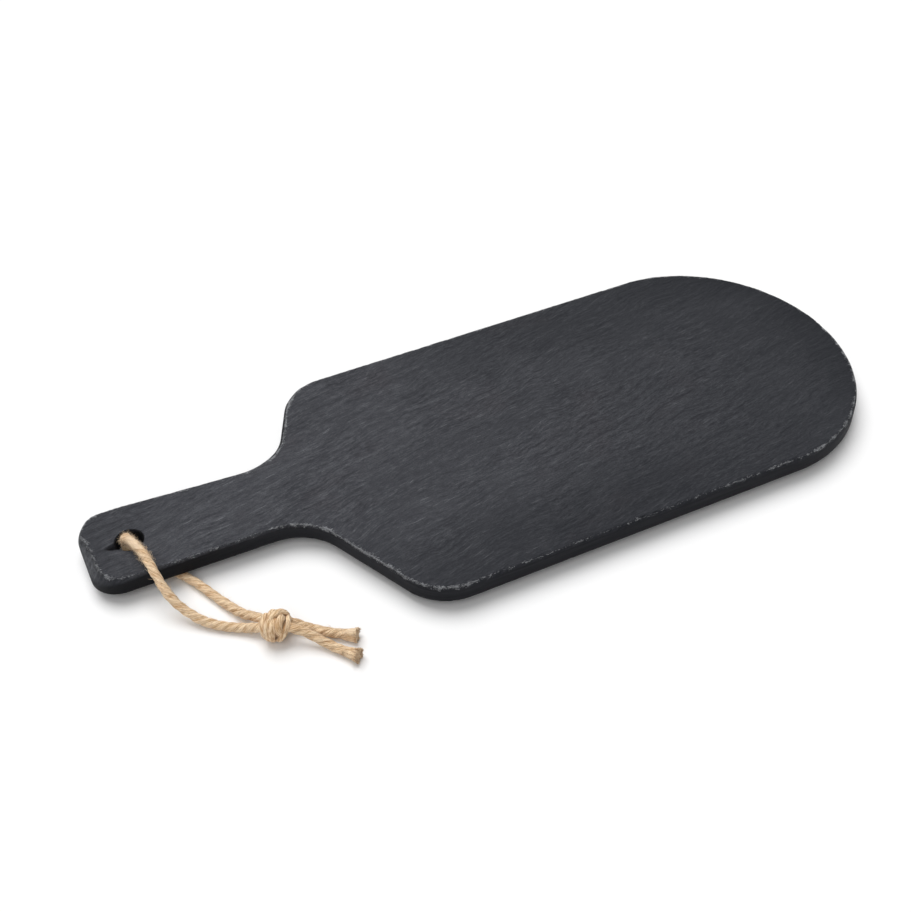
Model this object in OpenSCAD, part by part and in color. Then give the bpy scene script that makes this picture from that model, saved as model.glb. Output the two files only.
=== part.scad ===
// Slate serving board with an off-centre handle, rubber feet and a knotted jute hanging loop.
// Millimetres. X runs along the board with the handle at -X, +Z is up, and the feet stand on Z = 0.

/* [Board] */
// Length from the handle's end to the tip of the rounded end
board_l = 393; // [340:1:440]
// Width across the straight sides
board_w = 160; // [140:1:190]
// Thickness of the slate
slate_t = 8.2; // [7:0.1:10]
// Length of the rounded end, which is half an ellipse
round_l = 72; // [50:1:80]
// Width of the bevel that breaks every edge of the slate
arris_w = 0.7; // [0.3:0.1:1.2]

/* [Handle] */
// Length of the handle, from its end to where the shoulders start
handle_l = 98; // [85:1:120]
// Width of the handle at its end
handle_end_w = 47; // [42:1:52]
// Width of the handle at the shoulders
handle_neck_w = 41; // [36:1:44]
// How far the handle's middle lies to the left of the board's middle at its end
handle_end_shift = 14.2; // [0:0.1:18]
// How far the handle's middle lies to the left of the board's middle at the shoulders
handle_neck_shift = 10; // [0:0.1:18]
// Lean of the shoulders from square across the board, in degrees
shoulder_lean = 25; // [10:1:35]
// Radius of the handle's corners
corner_r = 13; // [8:0.5:18]
// Radius of the inside curve between handle and shoulder
neck_r = 27; // [15:0.5:32]
// Radius of the outside curve between shoulder and side
shoulder_r = 26; // [15:0.5:32]

/* [Cord hole] */
// Diameter of the hole through the handle
hole_d = 13; // [12:0.1:16]
// Distance of the hole's centre from the handle's end
hole_in = 21.2; // [20:0.1:24]
// Width of the bevel round the hole
hole_arris_w = 0.6; // [0.2:0.1:1]

/* [Feet] */
// Diameter of a rubber foot
foot_d = 12; // [9:0.5:16]
// Height of a rubber foot
foot_h = 4.6; // [4.4:0.1:5.2]
// Radius of a foot's lower edge
foot_edge_r = 2; // [1:0.1:3]
// Thickness of the adhesive disc that holds a foot to the slate
adhesive_t = 0.4; // [0.2:0.1:0.8]
// How much narrower all round the adhesive disc is than its foot
adhesive_margin = 0.5; // [0.2:0.1:1]
// Distance of the shoulder feet from the handle's end
shoulder_foot_in = 160; // [150:1:180]
// Distance of the tip feet from the tip of the rounded end
tip_foot_in = 62; // [50:1:80]
// Distance of the shoulder feet from the board's side
shoulder_foot_edge = 22; // [15:1:30]
// Distance of the tip feet from the board's side
tip_foot_edge = 30; // [26:1:36]

/* [Cord] */
// Diameter of the jute cord
cord_d = 4.6; // [4:0.1:4.8]
// Diameter of the cord's frayed ends
fray_d = 6.2; // [5:0.1:6.4]

/* [Knot] */
// Diameter over the whole knot
knot_d = 14; // [13:0.1:14]
// Thickness of the cord where the knot squeezes it
knot_turn_d = 3.2; // [2.6:0.1:3.6]

/* [Hidden] */
foot_names = ["left_shoulder", "right_shoulder", "left_tip", "right_tip"];

// Steps of each rounded corner, of each quarter of the elliptic end and of a foot's lower edge
corner_steps = 10;
end_steps = 24;
foot_edge_steps = 6;
// Facets of round pieces
round_fn = 48;
// Overrun of every cut
cut = 1;

slate_z = foot_h + adhesive_t;
top_z = slate_z + slate_t;
handle_end_x = -board_l / 2;
hole_x = handle_end_x + hole_in;
hole_y = handle_end_shift + (handle_neck_shift - handle_end_shift) * hole_in / handle_l;

// Each foot's place: +Y is the board's left side, seen from the handle
foot_places = [
    [handle_end_x + shoulder_foot_in, board_w / 2 - shoulder_foot_edge],
    [handle_end_x + shoulder_foot_in, shoulder_foot_edge - board_w / 2],
    [board_l / 2 - tip_foot_in, board_w / 2 - tip_foot_edge],
    [board_l / 2 - tip_foot_in, tip_foot_edge - board_w / 2]
];

// The cord's routes, chosen by hand. Both legs start in the middle of the hole.
upper_leg_route = [
    [-176.8, 14.6, 9.1], [-176.8, 14.3, 11.2], [-176.6, 13.3, 13.4], [-176, 11.6, 15],
    [-175.2, 9.5, 15.8], [-174.3, 7, 16], [-173.3, 3.8, 15.9], [-172.4, 0, 15.8],
    [-171.8, -4, 15.8], [-171.3, -8, 15.7], [-170.9, -12.2, 15.3], [-170.2, -16.2, 13.5],
    [-169.2, -21, 11.1], [-167.6, -25.4, 8.7], [-165.2, -29.8, 6.3], [-162, -34.3, 4.4],
    [-158.2, -38.8, 3], [-153.6, -43.1, 2.5], [-148.5, -46.9, 2.4], [-143.5, -50.3, 3],
    [-139, -53.7, 4.4]
];
lower_leg_route = [
    [-176.8, 14.6, 9.1], [-176.8, 14.2, 6.9], [-176.7, 13, 4.9], [-176.5, 11.3, 3.3],
    [-176.1, 9.2, 2.5], [-175.2, 6, 2.4], [-173, 2.2, 2.4], [-169.2, -1.4, 2.4],
    [-164.6, -4.8, 2.4], [-160.4, -8.3, 2.4], [-156.8, -12.8, 2.4], [-152.8, -20.6, 2.4],
    [-149.6, -28.4, 2.4], [-146.2, -35.8, 2.5], [-142.4, -42.4, 3.2], [-137.2, -48.9, 5]
];
left_tail_route = [
    [-123.6, -58.5, 4.1], [-121.1, -60.4, 3.1], [-118, -63, 2.5], [-113.7, -67, 2.4],
    [-109.2, -70.6, 2.5], [-105.2, -73.6, 2.9], [-101.4, -76.4, 3.3]
];
right_tail_route = [
    [-125.2, -64.1, 7.2], [-123, -65.8, 6.6], [-120.9, -67.7, 5.7], [-118.6, -70.2, 4.5],
    [-114.6, -75, 3], [-110.2, -80.8, 2.6], [-107.5, -84.2, 2.9], [-104.9, -87.4, 3.3]
];
knot_place = [-132, -58.4, 7];
// Direction from the loop to the tails, in degrees from +X
knot_turn = -32;
// How far the knot's core lies inside its turns, how deep the cord's ends run into it, and the
// sides of the cord
knot_core_inset = 1.4;
knot_end_depth = 4;
cord_sides = 10;
// Rows of the knot's surface from pole to pole, and columns round it
knot_rows = 28;
knot_columns = 44;
// Each turn of the knot: its yaw and pitch in degrees, and how far it lies along its own axis
// as a share of the knot's radius
knot_turns = [
    [36, -23, -0.36], [-54, -6, 0.04], [2, 0, -0.5], [6, 4, -0.1], [14, -27, 0.5], [-4, 4, 0.66]
];

// Unit vector from p to q
function toward(p, q) = (q - p) / norm(q - p);

// Points of the arc of radius r that rounds corner b on the way from a to c
function rounded(a, b, c, r) =
    let (
        u = toward(b, a),
        v = toward(b, c),
        half = acos(u * v) / 2,
        centre = b + (u + v) / norm(u + v) * r / sin(half),
        start = b + u * r / tan(half) - centre,
        from = atan2(start.y, start.x),
        sweep = (180 - 2 * half) * sign(cross(b - a, c - b))
    )
    [for (i = [0 : corner_steps])
        let (angle = from + sweep * i / corner_steps)
        centre + r * [cos(angle), sin(angle)]];

// One side of the board from the handle's end to its straight side: side is 1 on the left, -1 on
// the right, and each point lies at its distance from the board's middle line
function side_corners(side) =
    let (
        end_y = handle_end_w / 2 + side * handle_end_shift,
        neck_y = handle_neck_w / 2 + side * handle_neck_shift,
        shoulder_x = handle_l + (board_w / 2 - neck_y) * tan(shoulder_lean)
    )
    [for (p = [[0, 0], [0, end_y], [handle_l, neck_y], [shoulder_x, board_w / 2],
               [board_l - round_l, board_w / 2]])
        [handle_end_x + p.x, side * p.y]];

function side_outline(side) =
    let (c = side_corners(side))
    concat(
        rounded(c[0], c[1], c[2], corner_r),
        rounded(c[1], c[2], c[3], neck_r),
        rounded(c[2], c[3], c[4], shoulder_r)
    );

function reversed(list) = [for (i = [len(list) - 1 : -1 : 0]) list[i]];

// One side of the board and its quarter of the elliptic end, up to the step before the tip
function half_outline(side) =
    concat(
        side_outline(side),
        [for (i = [0 : end_steps - 1])
            let (angle = 90 * i / end_steps)
            [board_l / 2 - round_l + round_l * sin(angle), side * board_w / 2 * cos(angle)]]
    );

// The board's outline, counterclockwise from above, with the tip of the end in the middle of the list
function board_outline() =
    concat(half_outline(-1), [[board_l / 2, 0]], reversed(half_outline(1)));

// The outline drawn in by w, square to itself
function drawn_in(outline, w) =
    let (n = len(outline))
    [for (i = [0 : n - 1])
        let (along = toward(outline[(i + n - 1) % n], outline[(i + 1) % n]))
        outline[i] + w * [-along.y, along.x]];

// A plate of the outline whose upper and lower edges are bevelled by w. Its flat faces are laid
// across from each point of one half of the outline to its partner on the other.
module bevelled_plate(outline, low, high, w) {
    n = len(outline);
    small = drawn_in(outline, w);
    points = concat(
        [for (p = small) [p.x, p.y, low]],
        [for (p = outline) [p.x, p.y, low + w]],
        [for (p = outline) [p.x, p.y, high - w]],
        [for (p = small) [p.x, p.y, high]]
    );
    sides = [for (ring = [0 : 2], i = [0 : n - 1])
        let (a = ring * n + i, b = ring * n + (i + 1) % n)
        each [[a, b + n, b], [a, a + n, b + n]]];
    lid = concat(
        [for (i = [0 : floor(n / 2) - 2])
            each [[i, n - 2 - i, i + 1], [i, n - 1 - i, n - 2 - i]]],
        [[floor(n / 2) - 1, floor(n / 2) + 1, floor(n / 2)]]
    );
    underside = [for (face = lid) reversed(face)];
    polyhedron(points, concat(underside, [for (face = lid) face + [3 * n, 3 * n, 3 * n]], sides),
               convexity = 4);
}

module slate_board() {
    color([0.28, 0.29, 0.31])
    difference() {
        bevelled_plate(board_outline(), slate_z, top_z, arris_w);
        translate([hole_x, hole_y, slate_z - cut])
            cylinder(d = hole_d, h = slate_t + 2 * cut, $fn = round_fn);
        translate([hole_x, hole_y, top_z - hole_arris_w])
            cylinder(r1 = hole_d / 2, r2 = hole_d / 2 + hole_arris_w + cut,
                     h = hole_arris_w + cut, $fn = round_fn);
        translate([hole_x, hole_y, slate_z - cut])
            cylinder(r1 = hole_d / 2 + hole_arris_w + cut, r2 = hole_d / 2,
                     h = hole_arris_w + cut, $fn = round_fn);
    }
}

// Moulded rubber foot with a rounded lower edge
module foot(place) {
    edge_arc = [for (i = [0 : foot_edge_steps])
        let (angle = -90 + 90 * i / foot_edge_steps)
        [foot_d / 2 - foot_edge_r + foot_edge_r * cos(angle), foot_edge_r + foot_edge_r * sin(angle)]];
    color([0.11, 0.11, 0.12])
    translate([place.x, place.y, 0])
        rotate_extrude($fn = round_fn)
            polygon(concat([[0, 0]], edge_arc, [[foot_d / 2, foot_h], [0, foot_h]]));
}

// Double-sided adhesive disc between a foot and the slate
module adhesive_disc(place) {
    color([0.8, 0.8, 0.76])
    translate([place.x, place.y, foot_h])
        cylinder(r = foot_d / 2 - adhesive_margin, h = adhesive_t, $fn = round_fn);
}

// Direction of a route at its point i
function heading(route, i) =
    toward(route[max(i - 1, 0)], route[min(i + 1, len(route) - 1)]);

// A direction square to the route's heading, found from a level vector to the left of it
function beside(along, hint) =
    let (side = hint - along * (hint * along))
    side / norm(side);

// A closed tube along a route. Ring i has the radius radii[i], and starts and stops are the
// directions in which the tube's ends face.
module tube(route, radii, starts, stops, hint) {
    n = len(route);
    points = [for (i = [0 : n - 1], k = [0 : cord_sides - 1])
        let (
            along = i == 0 ? starts : i == n - 1 ? stops : heading(route, i),
            across = beside(along, hint),
            up = cross(along, across),
            angle = 360 * k / cord_sides
        )
        route[i] + radii[i] * (across * cos(angle) + up * sin(angle))];
    sides = [for (i = [0 : n - 2], k = [0 : cord_sides - 1])
        let (a = i * cord_sides + k, b = i * cord_sides + (k + 1) % cord_sides)
        each [[a, b + cord_sides, b], [a, a + cord_sides, b + cord_sides]]];
    first_face = [for (k = [0 : cord_sides - 1]) k];
    last_face = [for (k = [cord_sides - 1 : -1 : 0]) (n - 1) * cord_sides + k];
    polyhedron(points, concat([first_face, last_face], sides), convexity = 6);
}

function even(n, r) = [for (i = [1 : n]) r];

// A tail's radii, which open out over its last third into the frayed end
function fraying(n) =
    [for (i = [0 : n - 1])
        let (open = max(0, 3 * i / (n - 1) - 2))
        cord_d / 2 + (fray_d - cord_d) / 2 * open];

function last(list) = list[len(list) - 1];

// The direction from a leg's last point, or a tail's first, into the knot
function knot_ward(p) = toward(p, knot_place);

module leg(route, down) {
    color([0.8, 0.69, 0.54])
    tube(route, even(len(route), cord_d / 2), [0, 0, down], knot_ward(last(route)), [1, 0.4, 0]);
}

module cord_upper_leg() {
    leg(upper_leg_route, 1);
}

module cord_lower_leg() {
    leg(lower_leg_route, -1);
}

module tail(route) {
    color([0.8, 0.69, 0.54])
    tube(route, fraying(len(route)), -knot_ward(route[0]), heading(route, len(route) - 1), [1, 0.4, 0]);
}

module cord_tail_left() {
    tail(left_tail_route);
}

module cord_tail_right() {
    tail(right_tail_route);
}

// Unit vector along the axis of one of the knot's turns
function turn_axis(turn) =
    [cos(turn[1]) * cos(turn[0]), cos(turn[1]) * sin(turn[0]), -sin(turn[1])];

// How far from the knot's centre its surface lies in the unit direction d: on the round cord of the
// turn that reaches out furthest there, or else on the core
function knot_reach(d) =
    let (reach = (knot_d - knot_turn_d) / 2)
    max(concat(
        [knot_d / 2 - knot_core_inset],
        [for (turn = knot_turns)
            let (
                off = acos(d * turn_axis(turn)) - acos(turn[2] * knot_d / 2 / reach),
                aside = reach * sin(off)
            )
            if (cos(off) > 0 && abs(aside) < knot_turn_d / 2)
                reach * cos(off) + sqrt(knot_turn_d * knot_turn_d / 4 - aside * aside)]
    ));

// The knot's ball, one surface that bulges over each turn of the cord, with its poles on the axis
// from the loop to the tails
module knot_ball() {
    spots = concat(
        [[-1, 0, 0]],
        [for (i = [1 : knot_rows - 1], k = [0 : knot_columns - 1])
            let (tip = 180 - 180 * i / knot_rows, angle = 360 * k / knot_columns)
            [cos(tip), sin(tip) * cos(angle), sin(tip) * sin(angle)]],
        [[1, 0, 0]]
    );
    pole = len(spots) - 1;
    near_pole = pole - knot_columns;
    sides = [for (i = [0 : knot_rows - 3], k = [0 : knot_columns - 1])
        let (a = 1 + i * knot_columns + k, b = 1 + i * knot_columns + (k + 1) % knot_columns)
        each [[a, b + knot_columns, b], [a, a + knot_columns, b + knot_columns]]];
    ends = [for (k = [0 : knot_columns - 1])
        let (next = (k + 1) % knot_columns)
        each [[0, 1 + k, 1 + next], [pole, near_pole + next, near_pole + k]]];
    polyhedron([for (d = spots) d * knot_reach(d)], concat(sides, ends), convexity = 6);
}

// A stretch of cord that enters the knot at p, where the free cord begins
module knot_end(p) {
    inward = knot_ward(p);
    inner = knot_place - inward * knot_end_depth;
    tube([p, inner], even(2, cord_d / 2), inward, inward, [1, 0.4, 0]);
}

module cord_knot() {
    color([0.77, 0.66, 0.51])
    union() {
        translate(knot_place)
            rotate([0, 0, knot_turn])
                knot_ball();
        for (p = [last(upper_leg_route), last(lower_leg_route), left_tail_route[0], right_tail_route[0]])
            knot_end(p);
    }
}

slate_board();
for (i = [0 : len(foot_names) - 1]) {
    foot(foot_places[i]);
    adhesive_disc(foot_places[i]);
}
cord_upper_leg();
cord_lower_leg();
cord_knot();
cord_tail_left();
cord_tail_right();
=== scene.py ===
"""Slate serving board with rubber feet and a knotted jute hanging loop, dressed in Blender.

Sizes are in millimetres in the frame of the CAD model: X runs along the board with the handle at
-X, +Y is the board's left side, +Z is up. new_piece() turns them into metres.
"""
import math

import bpy
import numpy as np
from mathutils import Matrix


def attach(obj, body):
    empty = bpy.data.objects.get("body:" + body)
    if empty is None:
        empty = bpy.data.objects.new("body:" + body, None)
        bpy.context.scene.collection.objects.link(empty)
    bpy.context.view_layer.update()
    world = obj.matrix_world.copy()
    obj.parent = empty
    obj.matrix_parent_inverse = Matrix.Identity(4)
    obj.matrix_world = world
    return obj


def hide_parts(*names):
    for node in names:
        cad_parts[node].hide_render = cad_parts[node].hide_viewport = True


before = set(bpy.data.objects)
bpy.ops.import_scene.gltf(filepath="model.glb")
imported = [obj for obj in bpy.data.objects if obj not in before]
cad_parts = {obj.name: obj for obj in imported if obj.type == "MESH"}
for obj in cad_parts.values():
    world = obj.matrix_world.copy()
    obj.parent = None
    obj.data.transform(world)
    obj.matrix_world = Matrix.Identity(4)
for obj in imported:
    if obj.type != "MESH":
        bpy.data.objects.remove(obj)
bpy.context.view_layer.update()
scene = bpy.context.scene

# Camera, floor and light: a product shot on a white sweep. The camera looks down over the near
# right side of the board, and a wide soft lamp stands behind its left shoulder, so that the near
# side lies in soft shade.
camera = bpy.data.objects.new("camera", bpy.data.cameras.new("camera"))
camera.data.sensor_width = 36
camera.data.lens = 50.64
camera.data.clip_start = 0.01
camera.data.clip_end = 50
turn, tilt, roll = (math.radians(a) for a in (-24.659, 90 - 42.948, -1.691))
camera.matrix_world = (
    Matrix.Translation((-0.20750, -0.41142, 0.43046))
    @ Matrix.Rotation(turn, 4, "Z")
    @ Matrix.Rotation(tilt, 4, "X")
    @ Matrix.Rotation(roll, 4, "Z")
)
scene.collection.objects.link(camera)
scene.camera = camera
scene.view_settings.view_transform = "Standard"


class Socket:
    """One socket of a node tree. A sum, a difference and a product each add a Math node."""

    def __init__(self, socket):
        self.socket = socket

    def node(self, kind, settings=None, sockets=None, out=0):
        """Adds a node: its settings are set first, then the values or links of its sockets."""
        made = self.socket.id_data.nodes.new("ShaderNode" + kind)
        for name, value in (settings or {}).items():
            setattr(made, name, value)
        for name, value in (sockets or {}).items():
            if isinstance(value, Socket):
                self.socket.id_data.links.new(value.socket, made.inputs[name])
            else:
                made.inputs[name].default_value = value
        return Socket(made.outputs[out])

    def outputs(self, *names):
        """The named outputs of the node that this socket belongs to."""
        return [Socket(self.socket.node.outputs[name]) for name in names]

    def math(self, operation, first, second):
        return self.node("Math", {"operation": operation}, {0: first, 1: second})

    def __add__(self, other):
        return self.math("ADD", self, other)

    def __sub__(self, other):
        return self.math("SUBTRACT", self, other)

    def __mul__(self, other):
        return self.math("MULTIPLY", self, other)

    def __rsub__(self, other):
        return self.math("SUBTRACT", other, self)

    __radd__ = __add__
    __rmul__ = __mul__

    def between(self, low, high):
        """0 where the value is low, 1 where it is high, and a smooth rise from one to the other."""
        settings = {"interpolation_type": "SMOOTHSTEP"}
        return self.node("MapRange", settings, {0: self, 1: low, 2: high})

    def noise(self, scales, detail, roughness=0.5):
        """Noise from 0 to 1 over this vector, after each of its axes is scaled by itself."""
        placed = self.node("VectorMath", {"operation": "MULTIPLY"}, {0: self, 1: scales})
        sockets = {"Vector": placed, "Scale": 1.0, "Detail": detail, "Roughness": roughness}
        return self.node("TexNoise", {"noise_type": "FBM", "normalize": True}, sockets)

    def mixed(self, first, second):
        """The first colour where this value is 0, the second where it is 1."""
        first, second = ((*c, 1) if isinstance(c, tuple) else c for c in (first, second))
        return self.node("Mix", {"data_type": "RGBA"}, {0: self, 6: first, 7: second}, out=2)

    def raised(self, strength, height):
        """The normal of a surface that this value raises by up to the height, in metres."""
        return self.node("Bump", None, {"Strength": strength, "Distance": height, "Height": self})


def new_material(name):
    """A material, its Principled shader, and a socket of that, from which nodes are added."""
    material = bpy.data.materials.new(name)
    material.use_nodes = True
    shader = material.node_tree.nodes["Principled BSDF"]
    return material, shader, Socket(shader.outputs[0])


def connect(shader, **sockets):
    """Sets or links the shader's own sockets; an underscore in a name stands for a space."""
    for name, value in sockets.items():
        target = shader.inputs[name.replace("_", " ")]
        if isinstance(value, Socket):
            shader.id_data.links.new(value.socket, target)
        else:
            target.default_value = value


def seen_ray(start):
    """1 for a ray that the camera sees, also by gloss or through glass, and 0 for the others."""
    camera_ray, glossy_ray, transmission_ray = start.node("LightPath").outputs(
        "Is Camera Ray", "Is Glossy Ray", "Is Transmission Ray"
    )
    return start.math("MAXIMUM", start.math("MAXIMUM", camera_ray, glossy_ray), transmission_ray)


floor_reach, floor_z = 15.0, -0.0001
floor_mesh = bpy.data.meshes.new("floor")
floor_mesh.from_pydata([(x * floor_reach, y * floor_reach, floor_z)
                        for x, y in ((-1, -1), (1, -1), (1, 1), (-1, 1))], [], [(0, 1, 2, 3)])
floor = bpy.data.objects.new("floor", floor_mesh)
scene.collection.objects.link(floor)

floor_material, floor_shader, start = new_material("white_sweep")
glow = seen_ray(start).mixed((0.0, 0.0, 0.0), (0.012, 0.012, 0.012))
connect(floor_shader, Base_Color=(0.94, 0.94, 0.94, 1), Roughness=1.0, Specular_IOR_Level=0.0,
        Emission_Color=glow, Emission_Strength=1.0)
floor_mesh.materials.append(floor_material)

world = bpy.data.worlds.new("studio")
scene.world = world
world.use_nodes = True
background = world.node_tree.nodes["Background"]
seen = seen_ray(Socket(background.outputs[0]))
connect(background, Color=seen.mixed((0.164, 0.164, 0.164), (1.0, 1.0, 1.0)), Strength=1.0)

# Each lamp: energy, width, bearing from +X and height above the floor, the last three in degrees
for name, energy, width, bearing, height in (("far_lamp", 2.48, 50, 91, 64.5),
                                             ("near_lamp", 0.84, 47, -127, 51.5)):
    lamp = bpy.data.objects.new(name, bpy.data.lights.new(name, "SUN"))
    lamp.data.energy = energy
    lamp.data.angle = math.radians(width)
    lamp.matrix_world = Matrix.Rotation(math.radians(bearing), 4, "Z") @ Matrix.Rotation(
        math.radians(90 - height), 4, "Y"
    )
    scene.collection.objects.link(lamp)

# Slate board: one slab of riven slate, sawn to its outline and drilled. Every edge is broken by
# hand, which leaves small light chips along it. The faces keep the ripples of the split stone.
board_l, board_w, slate_t, round_l = 393.0, 160.0, 8.2, 72.0
handle_l, handle_end_w, handle_neck_w = 98.0, 47.0, 41.0
handle_end_shift, handle_neck_shift, shoulder_lean = 14.2, 10.0, 25.0
corner_r, neck_r, shoulder_r = 13.0, 27.0, 26.0
hole_d, hole_in = 13.0, 21.2
slate_z = 5.0
top_z = slate_z + slate_t
handle_end_x = -board_l / 2
hole = np.array([
    handle_end_x + hole_in,
    handle_end_shift + (handle_neck_shift - handle_end_shift) * hole_in / handle_l,
])


def unit(v):
    """Each vector of the array divided by its length."""
    return v / np.linalg.norm(v, axis=-1, keepdims=True)


def noise(x, y, seed, wrap=97):
    """Smooth noise from -1 to 1: random numbers at whole x and y, blended with smoothstep weights.
    It repeats every wrap cells of y. A plain number as y gives noise along x alone."""
    table = np.random.default_rng(seed).uniform(-1, 1, (311, wrap))
    i, j = np.floor(x).astype(int), np.floor(y).astype(int)
    u, v = x - i, y - j
    u, v = u * u * (3 - 2 * u), v * v * (3 - 2 * v)
    low = table[i % 311, j % wrap] * (1 - u) + table[(i + 1) % 311, j % wrap] * u
    high = table[i % 311, (j + 1) % wrap] * (1 - u) + table[(i + 1) % 311, (j + 1) % wrap] * u
    return low * (1 - v) + high * v


def rise(x, low, high):
    """0 below low, 1 above high, and a smooth rise in between."""
    t = np.clip((x - low) / (high - low), 0, 1)
    return t * t * (3 - 2 * t)


def new_piece(name, points, faces, material, slot, **attributes):
    """A smooth mesh of points in millimetres and of arrays of faces, riding on the board.
    An attribute is one number or one vector for each point."""
    mesh = bpy.data.meshes.new(name)
    sizes = np.concatenate([np.full(len(f), f.shape[1]) for f in faces])
    mesh.vertices.add(len(points))
    mesh.vertices.foreach_set("co", (points / 1000).ravel())
    mesh.loops.add(int(sizes.sum()))
    mesh.loops.foreach_set("vertex_index", np.concatenate([f.ravel() for f in faces]))
    mesh.polygons.add(len(sizes))
    mesh.polygons.foreach_set("loop_start", np.cumsum(sizes) - sizes)
    mesh.polygons.foreach_set("use_smooth", np.ones(len(sizes), bool))
    mesh.update(calc_edges=True)
    for label, values in attributes.items():
        kind, field = ("FLOAT", "value") if values.ndim == 1 else ("FLOAT_VECTOR", "vector")
        layer = mesh.attributes.new(label, kind, "POINT")
        layer.data.foreach_set(field, values.astype(np.float32).ravel())
    mesh.materials.append(material)
    piece = bpy.data.objects.new(name, mesh)
    scene.collection.objects.link(piece)
    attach(piece, "root")
    return piece


def rounded(a, b, c, r, steps=24):
    """Points of the arc of radius r that rounds the corner b on the way from a to c."""
    u, v = unit(a - b), unit(c - b)
    half = math.acos(u @ v) / 2
    centre = b + unit(u + v) * r / math.sin(half)
    first = b + u * r / math.tan(half) - centre
    sweep = (math.pi - 2 * half) * np.sign((b - a)[0] * (c - b)[1] - (b - a)[1] * (c - b)[0])
    angles = math.atan2(first[1], first[0]) + sweep * np.linspace(0, 1, steps)
    return centre + r * np.stack([np.cos(angles), np.sin(angles)], 1)


end_angle = math.radians(68)


def side_runs(side):
    """One side of the outline from the handle's end to end_angle of the elliptic end, as its
    runs: arc, straight, arc, straight, arc, straight, part of the ellipse."""
    end_y = handle_end_w / 2 + side * handle_end_shift
    neck_y = handle_neck_w / 2 + side * handle_neck_shift
    shoulder_x = handle_l + (board_w / 2 - neck_y) * math.tan(math.radians(shoulder_lean))
    corners = [(0, 0), (0, end_y), (handle_l, neck_y), (shoulder_x, board_w / 2),
               (board_l - round_l, board_w / 2)]
    c = [np.array([handle_end_x + x, side * y]) for x, y in corners]
    arcs = [rounded(*c[0:3], corner_r), rounded(*c[1:4], neck_r), rounded(*c[2:5], shoulder_r)]
    angle = np.linspace(0, end_angle, 60)[:, None]
    tip = np.hstack([board_l / 2 - round_l + round_l * np.sin(angle),
                     side * board_w / 2 * np.cos(angle)])
    ends = [arcs[0], arcs[1], arcs[2], tip]
    runs = []
    for i, run in enumerate(ends):
        runs.append(run)
        if i < 3:
            runs.append(np.array([run[-1], ends[i + 1][0]]))
    return runs


def run_lengths(run):
    """Distance along a run at each of its points."""
    return np.append(0, np.cumsum(np.linalg.norm(np.diff(run, axis=0), axis=1)))


near_runs, far_runs = side_runs(-1), side_runs(1)
shared = [(run_lengths(a)[-1] + run_lengths(b)[-1]) / 2 for a, b in zip(near_runs, far_runs)]
run_starts = np.append(0, np.cumsum(shared))


def side_points(runs, stations):
    """Points of one side of the outline at the given stations, which count the mean length of the
    two sides, run by run."""
    marks = np.concatenate([
        start + run_lengths(run) / run_lengths(run)[-1] * length
        for run, start, length in zip(runs, run_starts, shared)
    ])
    points = np.concatenate(runs)
    return np.stack([np.interp(stations, marks, points[:, k]) for k in (0, 1)], 1)


grain_turn = math.radians(12)
bevel_shares = (0.1, 0.25, 0.42, 0.6, 0.8, 1)
columns, hole_ring, block_ring = 96, 15, 20
fine_rows = np.arange(0, 44, 0.485)
stations = np.concatenate([fine_rows, np.linspace(fine_rows[-1] + 0.8, run_starts[-1], 300)])
rows = len(stations)
across = np.linspace(0, 1, columns + 1)


def loop_of(grid):
    """The rim of a grid, once round: near side, tip, far side, handle's end."""
    return np.concatenate([grid[:, 0], grid[-1, 1:], grid[-2::-1, -1], grid[0, -2:0:-1]])


def grid_in(rim):
    """A grid whose four edges lie on the rim: each row runs straight from the near side to the far
    side, and bends with the handle's end or the tip where it comes close to them."""
    near, tip = rim[:rows], rim[rows - 1:rows + columns]
    far = rim[rows + columns - 1:2 * rows + columns - 1][::-1]
    handle = np.append(rim[2 * rows + columns - 2:], rim[:1], axis=0)[::-1]
    v = across[None, :, None]
    grid = near[:, None] * (1 - v) + far[:, None] * v
    from_handle = (1 - rise(stations, 0, 8))[:, None, None]
    from_tip = (np.clip(stations - run_starts[6], 0, None) / shared[6])[:, None, None] ** 2
    return grid + from_handle * (handle - grid[0]) + from_tip * (tip - grid[-1])


def ring_steps(k):
    """Row and column offsets of the square ring k round a place of the grid, once round."""
    there, back, side = np.arange(-k, k), np.arange(k, -k, -1), np.full(2 * k, k)
    return np.concatenate([there, side, back, -side]), np.concatenate([-side, there, side, back])


psi = (np.pi / 2 - end_angle) * (2 * across - 1)
tip_edge = np.stack([
    board_l / 2 - round_l + round_l * np.cos(psi), board_w / 2 * np.sin(psi)
], 1)
near_side, far_side = side_points(near_runs, stations), side_points(far_runs, stations)
handle_edge = near_side[0] + (far_side[0] - near_side[0]) * across[:, None]
outline = np.concatenate([near_side, tip_edge[1:], far_side[-2::-1], handle_edge[-2:0:-1]])
steps = np.linalg.norm(np.roll(outline, -1, 0) - outline, axis=1)
around = np.append(0, np.cumsum(steps))[:-1]
heading = unit(np.roll(outline, -1, 0) - np.roll(outline, 1, 0))
outward = np.stack([heading[:, 1], -heading[:, 0]], 1)

hole_row = int(np.argmin(np.abs(grid_in(outline)[:, columns // 2, 0] - hole[0])))
block = np.arange(-block_ring, block_ring + 1)
block_a, block_b = (b.ravel() for b in np.meshgrid(block, block, indexing="ij"))
block_s = np.maximum(np.maximum(np.abs(block_a), np.abs(block_b)), 1)
hole_a, hole_b = ring_steps(hole_ring)


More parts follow.
